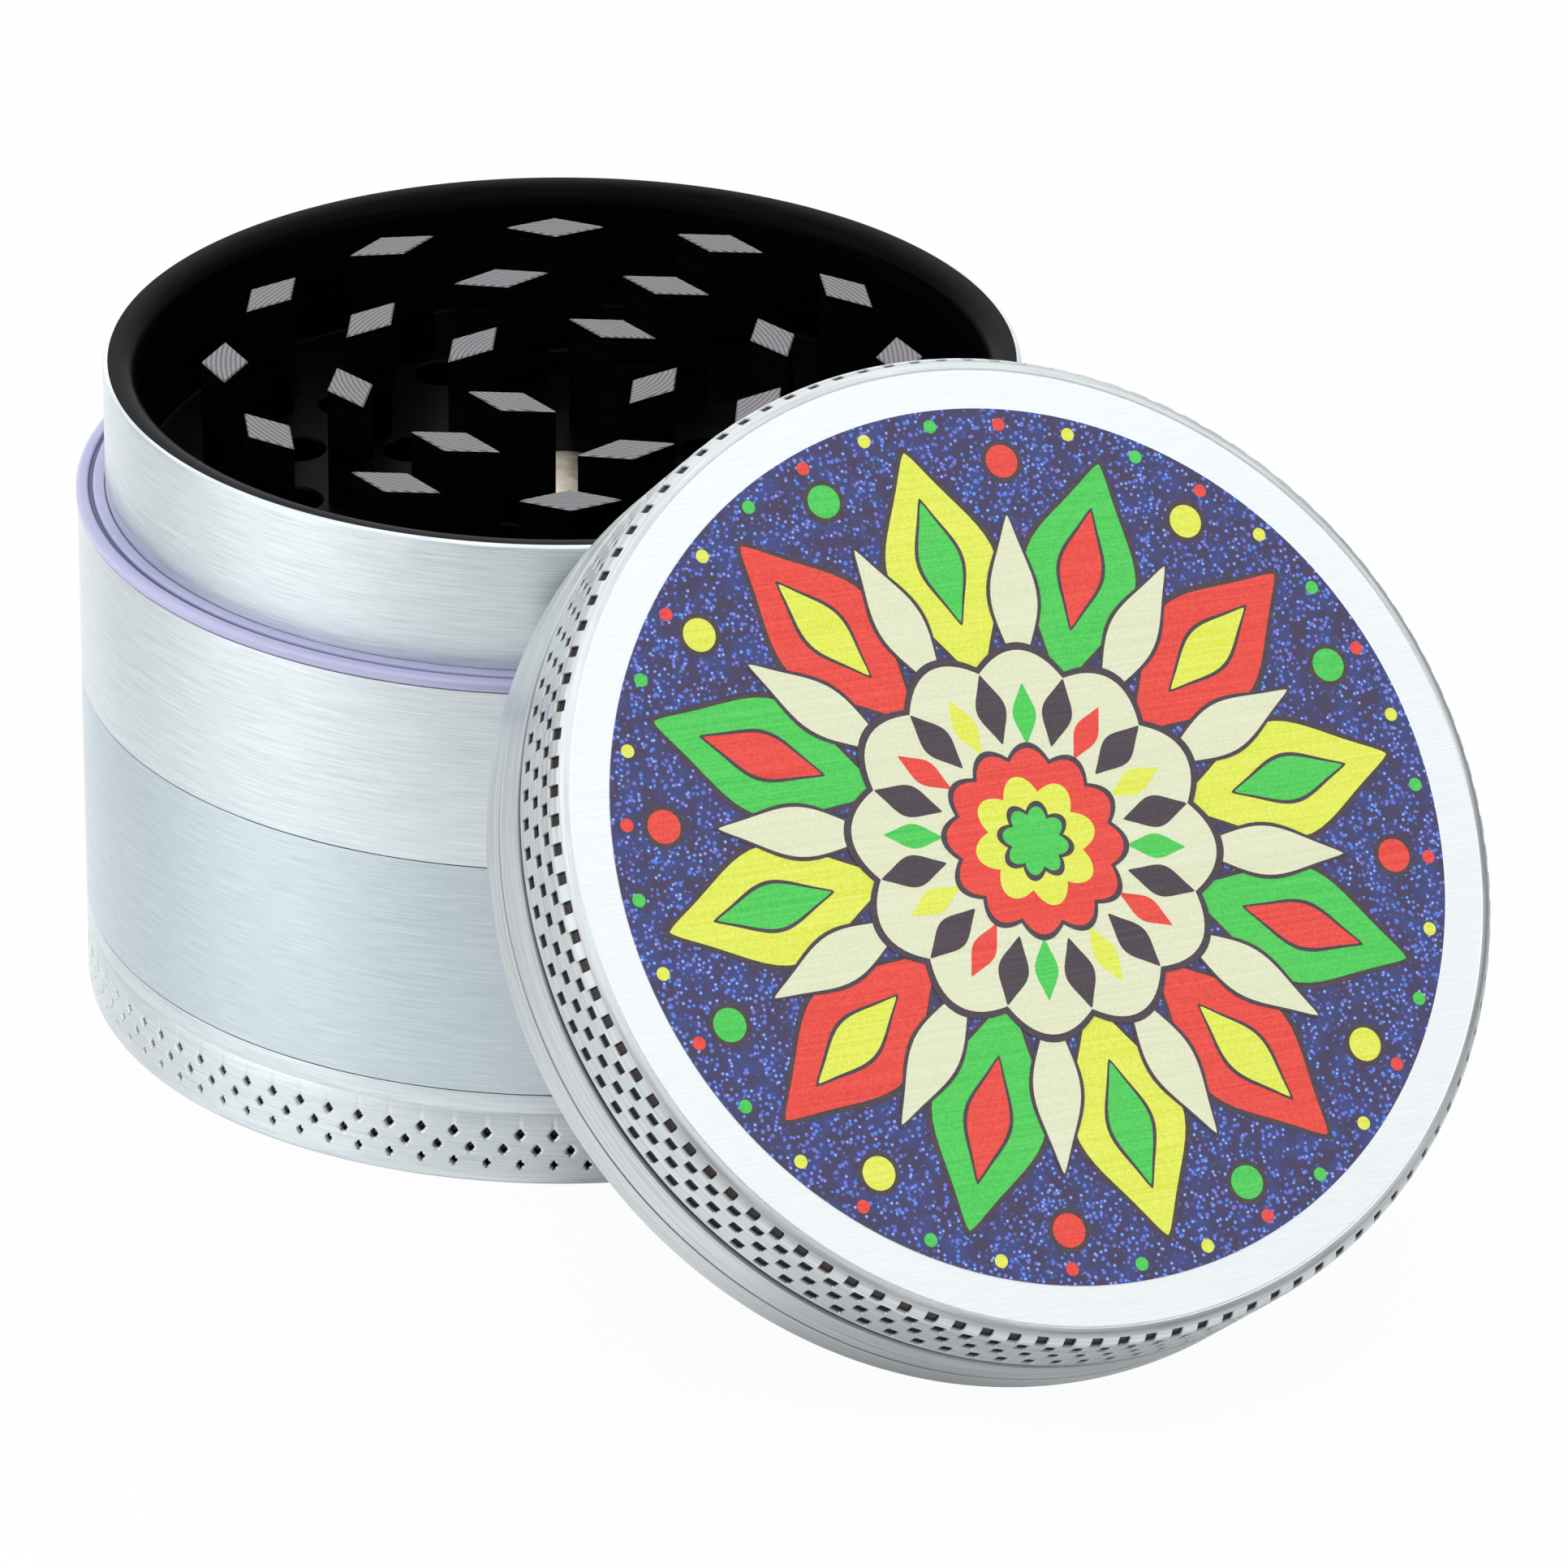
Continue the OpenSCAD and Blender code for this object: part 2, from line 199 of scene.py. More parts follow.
def piece(name, grids, finishes, body, stands_for=(), lid_frame=False, sharp=32):
    """One object from several grids of points, welded where they meet, on a CAD body.
    A grid is (points, finish, pit): finish is a material's index, or one for each step
    of the outline, and pit, 0 to 1, is how much painted shade the materials put on a
    point: its depth in the knurling's pits, or a share of it in a groove."""
    points, faces, finish, pit, start = [], [], [], [], 0
    for grid, grid_finish, grid_pit in grids:
        rows, columns = grid.shape[:2]
        quads = grid_faces(rows, columns, True)
        points.append(grid.reshape(-1, 3))
        faces.append(quads.reshape(-1, 4) + start)
        finish.append(np.broadcast_to(grid_finish, quads.shape[:2]).ravel())
        pit.append(np.broadcast_to(grid_pit, (rows, columns)).ravel())
        start += rows * columns
    points = np.concatenate(points)
    if lid_frame:
        points = points @ LID_AXES + LID_ORIGIN
    mesh = bpy.data.meshes.new(name)
    mesh.from_pydata(points * MM, [], np.concatenate(faces))
    mesh.polygons.foreach_set("material_index", np.concatenate(finish).astype(np.int32))
    depth = mesh.attributes.new("pit", "FLOAT", "POINT")
    depth.data.foreach_set("value", np.concatenate(pit).astype(np.float32))
    shell = bmesh.new()
    shell.from_mesh(mesh)
    bmesh.ops.remove_doubles(shell, verts=shell.verts, dist=0.002 * MM)
    bmesh.ops.recalc_face_normals(shell, faces=shell.faces)
    shell.to_mesh(mesh)
    shell.free()
    mesh.shade_smooth()
    mesh.set_sharp_from_angle(angle=math.radians(sharp))
    for material in finishes:
        mesh.materials.append(material)
    made = bpy.data.objects.new(name, mesh)
    bpy.context.scene.collection.objects.link(made)
    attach(made, body)
    if stands_for:
        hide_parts(*stands_for)
    return made


def thread(low, high, out):
    """Helical ridge between two heights: push = height times a triangle wave of
    z / pitch - a / turn, faded in and out over half a pitch, outwards or inwards."""
    def push(a, z):
        wave = np.abs((z / THREAD_PITCH - a / TURN) % 1 - 0.5) * 2
        fade = np.clip(np.minimum(z - low, high - z) / (THREAD_PITCH / 2), 0, 1)
        return out * THREAD_RIDGE * np.clip(wave * 1.6 - 0.3, 0, 1) * fade
    return push


def rows_between(low, high, count):
    """Inner heights of a band, evenly spaced."""
    return np.linspace(low, high, count + 2)[1:-1]


def wall(radius, heights):
    """Outline points up or down a straight wall."""
    return [(radius, z) for z in heights]


def flat_ring(inner, outer, z, around=AROUND):
    """A level ring, one step wide."""
    return turned(np.array([[inner, z], [outer, z]]), steps_round(around))


def drilled_ring(count, inner, outer, hole_r, low, high):
    """A level plate between two radii, drilled once in each of its equal sectors. The
    point at step i round a sector's border and step j inwards is the border, or the
    edge of the hole in the direction of that border point, at the height of step j."""
    half = math.pi / count
    on_arc = AROUND // count
    side = 6
    arc_angles = np.linspace(-half, half, on_arc + 1)[:-1]
    down = np.linspace(outer, inner, side + 1)[:-1]
    angle = np.concatenate([arc_angles, np.full(side, half), -arc_angles, np.full(side, -half)])
    radius = np.concatenate([np.full(on_arc, outer), down, np.full(on_arc, inner),
                             down[::-1] - (outer - inner) / side])
    radius[-side:] = np.linspace(inner, outer, side + 1)[:-1]
    border = np.stack([radius * np.cos(angle), radius * np.sin(angle)], -1)
    middle = np.array([(inner + outer) / 2, 0])
    way = border - middle
    way /= np.linalg.norm(way, axis=1, keepdims=True)
    burr = 0.12
    grids = []
    for k in range(count):
        turn = (k + 0.5) * TURN / count
        spin = np.array([[math.cos(turn), math.sin(turn)], [-math.sin(turn), math.cos(turn)]])
        levels = []
        for edge, z in ((None, high), (hole_r + burr, high), (hole_r, high - burr),
                        (hole_r, low + burr), (hole_r + burr, low), (None, low)):
            flat = border if edge is None else middle + edge * way
            levels.append(np.column_stack([flat @ spin, np.full(len(flat), z)]))
        grids.append(np.stack(levels, 1))
    return grids


# ---------------------------------------------------------------- knurling

BASE_PITS = 92              # pits in each row of the base's diamond knurling
BASE_PIT_ROWS = ((2.92, 0.36, 0.0), (2.05, 0.34, 0.5), (1.22, 0.27, 0.0))
BASE_PIT_ASPECT = 0.78      # a pit's width as a share of its height
BASE_PIT_START = math.radians(-0.99)
BASE_PIT_DEPTH = 0.32
LIP_LINE = 4.15             # height of the fine line turned above the base's knurling

LID_PITS = 108              # pits in each row of the lid's square knurling
LID_PIT_ROWS = (            # height, half the pits' height, shift as a share of the pitch
    (5.35, 0.42, 0.0), (6.58, 0.42, 0.5), (7.76, 0.40, 0.0), (8.53, 0.28, 0.5))
LID_PIT_START = math.radians(-0.60)
LID_PIT_HALF_W = 0.32
LID_PIT_SLOPE = 0.08
LID_PIT_DEPTH = 0.2
GROOVE_PAINTED_SHADE = 0.6           # painted shade in the turned grooves, beside the pits' 1

THIN_GROOVE = (1.70, 0.18, 0.12)      # height, width, depth
WIDE_GROOVE = (4.10, 0.60, 0.25)


def off_pit(a, count, start, shift):
    """Distance round the wall from the nearest pit of a row."""
    pitch = TURN / count
    return ((a - start - shift * pitch + pitch / 2) % pitch - pitch / 2) * BODY_R


def diamond_pit(a, r, z):
    """Depth 0 to 1 in the base's knurling: 1 - |across| / half - |up| / half in the
    nearest diamond, steepened so that the pit has a small flat floor."""
    depth = 0 * a * z
    for height, half, shift in BASE_PIT_ROWS:
        across = np.abs(off_pit(a, BASE_PITS, BASE_PIT_START, shift)) / half / BASE_PIT_ASPECT
        up = np.abs(z - height) / half
        depth = np.maximum(depth, np.clip((1 - across - up) * 2.2, 0, 1))
    return depth * (r > BODY_R - 0.01)


def square_pit(a, r, z):
    """Depth 0 to 1 in the lid's knurling: the product of two trapezium waves, one
    across the pit and one up it."""
    depth = 0 * a * z
    for height, half, shift in LID_PIT_ROWS:
        across = np.abs(off_pit(a, LID_PITS, LID_PIT_START, shift))
        up = np.abs(z - height)
        sides = np.clip((LID_PIT_HALF_W - across) / LID_PIT_SLOPE, 0, 1)
        ends = np.clip((half - up) / LID_PIT_SLOPE, 0, 1)
        depth = np.maximum(depth, sides * ends)
    return depth * (r > BODY_R - FACE_ROUND_W)


# ---------------------------------------------------------------- materials

def srgb(code):
    """Linear colour of an sRGB hex value."""
    levels = [int(code[i:i + 2], 16) / 255 for i in (1, 3, 5)]
    linear = [c / 12.92 if c <= 0.04045 else ((c + 0.055) / 1.055) ** 2.4 for c in levels]
    return (*linear, 1.0)


def new_material(name):
    """An empty node material and its tree."""
    material = bpy.data.materials.new(name)
    material.use_nodes = True
    material.node_tree.nodes.clear()
    return material, material.node_tree


def add(tree, kind, inputs=(), **settings):
    """Adds a node of a kind with its settings. Each input is set to a number or a
    colour, or linked where its value is another node's output socket."""
    made = tree.nodes.new(kind)
    for key, value in settings.items():
        setattr(made, key, value)
    for key, value in dict(inputs).items():
        if isinstance(value, bpy.types.NodeSocket):
            tree.links.new(value, made.inputs[key])
        else:
            made.inputs[key].default_value = value
    return made


def finish_surface(tree, inputs):
    """The material's Principled shader and its output."""
    shader = add(tree, "ShaderNodeBsdfPrincipled", inputs)
    add(tree, "ShaderNodeOutputMaterial", {"Surface": shader.outputs[0]})


LID_TURN = Matrix(LID_AXES.T.tolist()).to_euler()
BRUSH_ANGLE = math.radians(85)      # how the lid's face was drawn over the belt
MIX_A, MIX_B, MIX_OUT = 6, 7, 2     # colour sockets of Blender's Mix node


def local_place(tree, on_lid):
    """Object coordinates, or the same in the lid's own frame."""
    place = add(tree, "ShaderNodeTexCoord").outputs["Object"]
    if not on_lid:
        return place
    moved = add(tree, "ShaderNodeMapping", {
        "Vector": place, "Location": (LID_ORIGIN * MM).tolist(),
        "Rotation": tuple(LID_TURN)}, vector_type="TEXTURE")
    return moved.outputs[0]


def streaks(tree, place, length, width, brush_angle=None, detail=3.0):
    """Noise drawn out along the brushing. On a turned wall the lines run round it, so
    only z is fine; on a flat face they run at an angle across it."""
    long_scale, fine_scale = 1 / (length * MM), 1 / (width * MM)
    if brush_angle is None:
        scaled = add(tree, "ShaderNodeMapping", {
            "Vector": place, "Scale": (long_scale, long_scale, fine_scale)})
    else:
        scaled = add(tree, "ShaderNodeMapping", {
            "Vector": add(tree, "ShaderNodeMapping", {
                "Vector": place, "Rotation": (0, 0, -brush_angle)}).outputs[0],
            "Scale": (long_scale, fine_scale, long_scale)})
    noise = add(tree, "ShaderNodeTexNoise", {
        "Vector": scaled.outputs[0], "Scale": 1.0, "Detail": detail, "Roughness": 0.62})
    return noise.outputs["Fac"]


def remap(tree, value, low, high, to_low, to_high):
    """A value carried from one range to another, and held at its ends."""
    return add(tree, "ShaderNodeMapRange", {
        "Value": value, "From Min": low, "From Max": high,
        "To Min": to_low, "To Max": to_high}).outputs[0]


def blend(tree, share, first, second):
    """Mix of two colours, each a hex value or a socket."""
    pick = [srgb(c) if isinstance(c, str) else c for c in (first, second)]
    mixed = add(tree, "ShaderNodeMix", {0: share, MIX_A: pick[0], MIX_B: pick[1]},
                data_type="RGBA")
    return mixed.outputs[MIX_OUT]


def brushed_aluminium(name, dark, light, rough, across, on_lid=False, brush_angle=None,
                      length=4.0, width=0.1, relief=0.008):
    """Bare aluminium, turned or drawn over an abrasive belt: fine short lines a little
    darker and lighter than the metal, highlights stretched across them, and painted
    shade, near black, in the knurl's pits and the turned grooves. across is the
    direction square to the lines."""
    material, tree = new_material(name)
    place = local_place(tree, on_lid)
    fine = streaks(tree, place, length, width, brush_angle)
    metal = blend(tree, remap(tree, fine, 0.3, 0.7, 0.0, 1.0), dark, light)
    pit = add(tree, "ShaderNodeAttribute", attribute_name="pit").outputs["Fac"]
    painted_shade = remap(tree, pit, 0.1, 0.6, 0.0, 1.0)
    # 453F40 is painted shade in the knurl's pits and the turned grooves
    colour = blend(tree, painted_shade, metal, "#453F40")
    bump = add(tree, "ShaderNodeBump", {
        "Strength": 0.3, "Distance": relief * MM, "Height": fine})
    stretch = add(tree, "ShaderNodeVectorTransform", {"Vector": tuple(across)},
                  vector_type="VECTOR", convert_from="OBJECT", convert_to="WORLD")
    finish_surface(tree, {
        "Base Color": colour, "Metallic": 1.0, "Normal": bump.outputs[0],
        "Anisotropic": 0.75, "Tangent": stretch.outputs[0],
        "Roughness": remap(tree, fine, 0.3, 0.7, rough - 0.04, rough + 0.04)})
    return material


def coated_black(name, on_lid=False):
    """Black anodised aluminium, satin: near black, with a soft sheen at low angles and
    a faint turned grain under the coating."""
    material, tree = new_material(name)
    place = local_place(tree, on_lid)
    grain = streaks(tree, place, 8.0, 0.2)
    colour = blend(tree, remap(tree, grain, 0.35, 0.65, 0.0, 1.0), "#020203", "#09090A")
    bump = add(tree, "ShaderNodeBump", {
        "Strength": 0.25, "Distance": 0.01 * MM, "Height": grain})
    finish_surface(tree, {
        "Base Color": colour, "Metallic": 0.0, "Normal": bump.outputs[0],
        "Specular IOR Level": 0.03,
        "Roughness": remap(tree, grain, 0.3, 0.7, 0.26, 0.4)})
    return material


def faced_tip(name, on_lid=False):
    """Tooth tips faced on the lathe after coating: bare grey metal with turning lines a
    quarter of a millimetre apart, drawn coarser than the real ones so that they show."""
    material, tree = new_material(name)
    place = local_place(tree, on_lid)
    lines = add(tree, "ShaderNodeTexWave", {
        "Vector": place, "Scale": TURN / (0.25 * MM) / 20, "Distortion": 0.6,
        "Detail": 2.0, "Detail Scale": 1.5},
        wave_type="RINGS", rings_direction="Z", wave_profile="SIN").outputs["Fac"]
    colour = blend(tree, lines, "#605E62", "#8E8C90")
    bump = add(tree, "ShaderNodeBump", {
        "Strength": 0.4, "Distance": 0.012 * MM, "Height": lines})
    finish_surface(tree, {
        "Base Color": colour, "Metallic": 1.0, "Roughness": 0.42,
        "Normal": bump.outputs[0]})
    return material


def nickel_plate(name, on_lid=False):
    """Nickel plated magnet: warm pale metal, plated smooth, with faint tumbling marks."""
    material, tree = new_material(name)
    place = local_place(tree, on_lid)
    marks = add(tree, "ShaderNodeTexNoise", {
        "Vector": place, "Scale": 1 / (0.8 * MM), "Detail": 4.0}).outputs["Fac"]
    colour = blend(tree, remap(tree, marks, 0.35, 0.65, 0.0, 1.0), "#D8CCBA", "#EFE6D8")
    finish_surface(tree, {
        "Base Color": colour, "Metallic": 1.0,
        "Roughness": remap(tree, marks, 0.3, 0.7, 0.34, 0.42)})
    return material


def lavender_plastic():
    """Moulded polypropylene, lavender and milky: light soaks in a little way, the
    mould's fine lines run round it, and its groove is darkened with painted shade."""
    material, tree = new_material("lavender_polypropylene")
    place = local_place(tree, False)
    lines = streaks(tree, place, 30.0, 0.16)
    unshaded = blend(tree, remap(tree, lines, 0.35, 0.65, 0.0, 1.0), "#B4B4DA", "#CFCDEE")
    depth = add(tree, "ShaderNodeAttribute", attribute_name="pit").outputs["Fac"]
    # 56618A in the groove is painted shade
    colour = blend(tree, remap(tree, depth, 0.15, 0.8, 0.0, 1.0), unshaded, "#56618A")
    bump = add(tree, "ShaderNodeBump", {
        "Strength": 0.2, "Distance": 0.01 * MM, "Height": lines})
    finish_surface(tree, {
        "Base Color": colour, "Roughness": 0.34, "Normal": bump.outputs[0],
        "IOR": 1.49, "Subsurface Weight": 0.35,
        "Subsurface Radius": (0.9 * MM, 0.8 * MM, 1.1 * MM), "Subsurface Scale": 1.0})
    return material


def steel_wire():
    """Woven stainless wire: drawn bright, greyer in soft random patches."""
    material, tree = new_material("stainless_wire")
    place = local_place(tree, False)
    drawn = add(tree, "ShaderNodeTexNoise", {
        "Vector": place, "Scale": 1 / (0.5 * MM), "Detail": 2.0}).outputs["Fac"]
    finish_surface(tree, {
        "Base Color": blend(tree, drawn, "#8E8E92", "#C2C2C6"), "Metallic": 1.0,
        "Roughness": remap(tree, drawn, 0.3, 0.7, 0.25, 0.4)})
    return material


def print_ink(name, dark, light):
    """Ink printed on brushed metal and clear coated: flat colour with the print's fine
    grain, and the metal's belt lines showing through as relief."""
    material, tree = new_material(name)
    place = local_place(tree, True)
    grain = add(tree, "ShaderNodeTexNoise", {
        "Vector": place, "Scale": 1 / (0.16 * MM), "Detail": 2.0,
        "Roughness": 0.7}).outputs["Fac"]
    lines = streaks(tree, place, 16.0, 0.1, BRUSH_ANGLE)
    mottle = add(tree, "ShaderNodeMath", {0: grain, 1: lines}, operation="ADD").outputs[0]
    colour = blend(tree, remap(tree, mottle, 0.75, 1.25, 0.0, 1.0), dark, light)
    bump = add(tree, "ShaderNodeBump", {
        "Strength": 0.25, "Distance": 0.008 * MM, "Height": lines})
    finish_surface(tree, {
        "Base Color": colour, "Roughness": 0.42, "Normal": bump.outputs[0],
        "Specular IOR Level": 0.35})
    return material


def times(tree, first, second):
    """Product of two values."""
    return add(tree, "ShaderNodeMath", {0: first, 1: second}, operation="MULTIPLY").outputs[0]


def glitter_ink():
    """Navy ink full of glitter flakes: a blotchy field from purple-grey to blue, with
    clusters of specks 0.1 to 0.2 mm across, blue or violet, partly the flakes' own
    colour and partly painted glint, some with a white centre that is a painted glint."""
    material, tree = new_material("glitter_ink")
    place = local_place(tree, True)
    cloud = add(tree, "ShaderNodeTexNoise", {
        "Vector": place, "Scale": 1 / (1.3 * MM), "Detail": 3.0}).outputs["Fac"]
    colour = blend(tree, remap(tree, cloud, 0.4, 0.62, 0.0, 1.0), "#433B5A", "#3F4780")
    for size, reach in ((0.27, 0.42), (0.36, 0.36), (0.5, 0.24)):
        flakes = add(tree, "ShaderNodeTexVoronoi", {
            "Vector": place, "Scale": 1 / (size * MM), "Randomness": 1.0}).outputs
        tone = add(tree, "ShaderNodeSeparateColor", {"Color": flakes["Color"]}).outputs
        chance = add(tree, "ShaderNodeMath", {0: cloud, 1: tone[0]}, operation="ADD")
        lit = remap(tree, chance.outputs[0], 0.9, 0.98, 0.0, 1.0)
        speck = remap(tree, flakes["Distance"], reach, reach * 0.6, 0.0, 1.0)
        core = remap(tree, flakes["Distance"], reach * 0.62, reach * 0.3, 0.0, 1.0)
        hue = blend(tree, remap(tree, tone[1], 0.3, 0.9, 0.0, 1.0), "#5686F2", "#7E78DC")
        # bright: the white centres, painted glints of flakes that catch the light
        bright = times(tree, times(tree, core, lit), remap(tree, tone[2], 0.3, 0.7, 0.0, 1.0))
        colour = blend(tree, times(tree, speck, lit), colour, hue)
        colour = blend(tree, bright, colour, "#C4F0FF")
    finish_surface(tree, {
        "Base Color": colour, "Roughness": 0.38, "Specular IOR Level": 0.4})
    return material


face_across = np.array([-math.sin(BRUSH_ANGLE), math.cos(BRUSH_ANGLE), 0]) @ LID_AXES
bare = brushed_aluminium("turned_aluminium", "#CCD7DC", "#ECF2F4", 0.36, (0, 0, 1),
                         length=3.0, width=0.08, relief=0.005)
bare_satin = brushed_aluminium("satin_aluminium", "#C0CED7", "#DBE6ED", 0.38, (0, 0, 1),
                               length=2.5, width=0.07, relief=0.005)
lid_bare = brushed_aluminium("turned_aluminium_lid", "#B4BBBE", "#E4E9EB", 0.34, lid_z,
                             True, length=9.0, relief=0.015)
lid_face = brushed_aluminium("belt_brushed_aluminium", "#E6EDF0", "#F8FBFC", 0.36,
                             face_across, True, BRUSH_ANGLE, length=3.0, relief=0.004)
coating = coated_black("black_anodising")
lid_coating = coated_black("black_anodising_lid", True)
tip = faced_tip("faced_aluminium")
lid_tip = faced_tip("faced_aluminium_lid", True)
nickel = nickel_plate("nickel_plating")
lid_nickel = nickel_plate("nickel_plating_lid", True)
lavender = lavender_plastic()
wire = steel_wire()
glitter = glitter_ink()
ink_yellow = print_ink("yellow_ink", "#E3EC46", "#F4FC74")
ink_red = print_ink("red_ink", "#E8443C", "#FA5E52")
ink_green = print_ink("green_ink", "#44C853", "#62DC68")
ink_cream = print_ink("cream_ink", "#E4E9C4", "#F3F7DA")
ink_line = print_ink("outline_ink", "#453B43", "#574D55")


# ---------------------------------------------------------------- base cup

def base_cup():
    """Shallow cup, its outer wall knurled with three rows of diamond pits, its bore
    threaded for the screen chamber."""
    band_low, band_high = 0.85, 3.35
    bore_low = BASE_FLOOR + 0.5
    outline = rounded([
        (0, 0), (BODY_R, 0, 0.5),
        *wall(BODY_R, rows_between(band_low, band_high, 29)),
        (BODY_R, LIP_LINE - 0.09), (BODY_R - 0.05, LIP_LINE), (BODY_R, LIP_LINE + 0.09),
        (BODY_R, BASE_TOP, EDGE), (BORE_R, BASE_TOP, EDGE),
        *wall(BORE_R, rows_between(BASE_TOP - 0.2, bore_low, 10)),
        (BORE_R, BASE_FLOOR, 0.3), (0, BASE_FLOOR)])
    ridge = thread(bore_low, BASE_TOP - 0.2, -1)

    def push(a, r, z):
        on_bore = np.abs(r - BORE_R) < 0.01
        return ridge(a, z) * on_bore - BASE_PIT_DEPTH * diamond_pit(a, r, z)

    angles = steps_round(BASE_PITS * 16) + BASE_PIT_START
    # Painted shade for the material, as deep as the diamond pits.
    pit = diamond_pit(angles[:, None], *outline.T)
    piece("base_cup_shell", [(turned(outline, angles, push), 0, pit)], [bare],
          "base", ["base_cup"], sharp=50)


base_cup()


# ---------------------------------------------------------------- screen chamber

def screen_chamber():
    """Plain walled chamber: spigot below, ledge for the screen, threaded bore above."""
    bottom = BASE_TOP + SEAM_GAP
    spigot_z = screen_low[2]
    bore_low = SCREEN_TOP - 3.6
    ledge_z = weave_low[2] - 0.05
    spigot_rows = rows_between(spigot_z + 0.2, bottom - 0.3, 20)
    bore_rows = rows_between(SCREEN_TOP - 0.2, bore_low + 0.3, 20)
    outline = rounded([
        (SPIGOT_IN_R, spigot_z), (SPIGOT_R, spigot_z, 0.25),
        *wall(SPIGOT_R, spigot_rows), (SPIGOT_R, bottom),
        (BODY_R, bottom, EDGE), (BODY_R, SCREEN_TOP, EDGE),
        (BORE_R, SCREEN_TOP, EDGE), *wall(BORE_R, bore_rows),
        (BORE_R, bore_low), (SCREEN_ROOM_R, bore_low),
        (SCREEN_ROOM_R, ledge_z), (LEDGE_IN_R, ledge_z),
        (LEDGE_IN_R, ledge_z - LEDGE_T), (SPIGOT_IN_R, ledge_z - LEDGE_T),
        (SPIGOT_IN_R, spigot_z)])
    male = thread(spigot_z + 0.2, bottom - 0.3, 1)
    female = thread(bore_low + 0.3, SCREEN_TOP - 0.2, -1)

    def push(a, r, z):
        return male(a, z) * (np.abs(r - SPIGOT_R) < 0.01) + \
            female(a, z) * (np.abs(r - BORE_R) < 0.01)

    piece("screen_chamber_shell", [(turned(outline, push=push), 0, 0)], [bare_satin],
          "screen_chamber", ["screen_chamber"])


def woven_screen():
    """Plain weave of round wire: each wire's middle rises and falls as a cosine of the
    way along it, and its four sides lie a wire's radius off that line. The pitch is
    drawn coarser than the real 0.2 mm so that the wires can be told apart."""
    pitch, wire_r = 0.8, 0.07
    swing = (weave_top[2] - weave_low[2]) / 2 - wire_r
    reach = weave_top[0] - 0.02
    middle_z = (weave_low[2] + weave_top[2]) / 2
    grids = []
    count = int(reach / pitch)
    for direction in (0, 1):
        for k in range(-count, count + 1):
            across = k * pitch
            half = math.sqrt(max(reach ** 2 - across ** 2, 0.01))
            along = np.linspace(-half, half, max(int(4 * half / pitch), 8))
            lift = swing * np.cos(math.pi * (along / pitch + k + direction))
            side = np.arange(4)[:, None] * TURN / 4
            radius = np.full(len(along), wire_r)
            radius[[0, -1]] = 0
            offset = across + radius * np.cos(side)
            z = middle_z + lift + radius * np.sin(side)
            way = along + 0 * side
            pair = (way, offset) if direction else (offset, way)
            grids.append((np.stack([*pair, z], -1), 0, 0))
    piece("woven_screen", grids, [wire], "screen_rise", ["screen_mesh"])


def screen_keeper():
    """Pressed ring that holds the screen on its ledge."""
    inner, outer = keeper_top[0] - 1.6, keeper_top[0]
    low, high = keeper_low[2], keeper_top[2]
    outline = rounded([
        (inner, low), (outer, low, EDGE), (outer, high, 0.15),
        (inner, high, 0.4), (inner, low)])
    piece("screen_keeper", [(turned(outline), 0, 0)], [wire], "screen_rise",
          ["screen_retaining_ring"])


screen_chamber()
woven_screen()
screen_keeper()


# ---------------------------------------------------------------- tooth chamber

def tooth_chamber():
    """Chamber with its neck bare outside and coated inside, and a drilled floor."""
    bare_wall, coated = 0, 1
    bottom = SCREEN_TOP + SEAM_GAP
    spigot_z = tooth_low[2]
    floor_low = FLOOR_Z - FLOOR_T
    edge_r = CHAMBER_R - 1.2
    spigot_rows = rows_between(bottom - 0.3, spigot_z + 0.2, 20)
    inside = rounded([(edge_r, FLOOR_Z), (CHAMBER_R, FLOOR_Z, 0.3),
                      (CHAMBER_R, RIM_Z, RIM_ROUND), (NECK_R - RIM_EDGE, RIM_Z)], steps=10)
    outside = rounded([
        (NECK_R - RIM_EDGE, RIM_Z), (NECK_R, RIM_Z, RIM_EDGE * 0.98),
        (NECK_R, SHOULDER_Z), (BODY_R, SHOULDER_Z, EDGE), (BODY_R, bottom, EDGE),
        (SPIGOT_R, bottom), *wall(SPIGOT_R, spigot_rows), (SPIGOT_R, spigot_z, 0.25),
        (SPIGOT_IN_R, spigot_z, EDGE), (SPIGOT_IN_R, floor_low, 0.3),
        (edge_r - 2.4, floor_low)])
    male = thread(spigot_z + 0.2, bottom - 0.3, 1)

    def push(a, r, z):
        return male(a, z) * (np.abs(r - SPIGOT_R) < 0.01)

    seat = MAGNET_R + 0.05
    outer_r = TOOTH_RINGS[1][1] + RING_STEP / 2
    inner_r = TOOTH_RINGS[2][1] + RING_STEP / 2
    reach = 2.4
    grids = [(turned(inside), coated, 0), (turned(outside, push=push), bare_wall, 0)]
    grids += [(flat_ring(outer_r + reach, edge_r, FLOOR_Z), coated, 0),
              (flat_ring(outer_r + reach, edge_r - 2.4, floor_low), bare_wall, 0),
              (flat_ring(inner_r + reach, outer_r - reach, FLOOR_Z), coated, 0),
              (flat_ring(inner_r + reach, outer_r - reach, floor_low), bare_wall, 0)]
    hole_finish = np.array([coated, coated, coated, bare_wall, bare_wall])
    for count, middle in ((OUTER_HOLES, outer_r), (INNER_HOLES, inner_r)):
        for grid in drilled_ring(count, middle - reach, middle + reach, DROP_HOLE_R,
                                 floor_low, FLOOR_Z):
            grids.append((grid, hole_finish, 0))
    pocket = np.array([[inner_r - reach, FLOOR_Z], [seat, FLOOR_Z],
                       [seat, magnet_low[2] - 0.05], [0, magnet_low[2] - 0.05]])
    grids.append((turned(pocket), coated, 0))
    grids.append((turned(np.array([[inner_r - reach, floor_low], [0, floor_low]])),
                  bare_wall, 0))
    piece("tooth_chamber_shell", grids, [bare, coating], "tooth_chamber",
          ["tooth_chamber", "chamber_floor"])


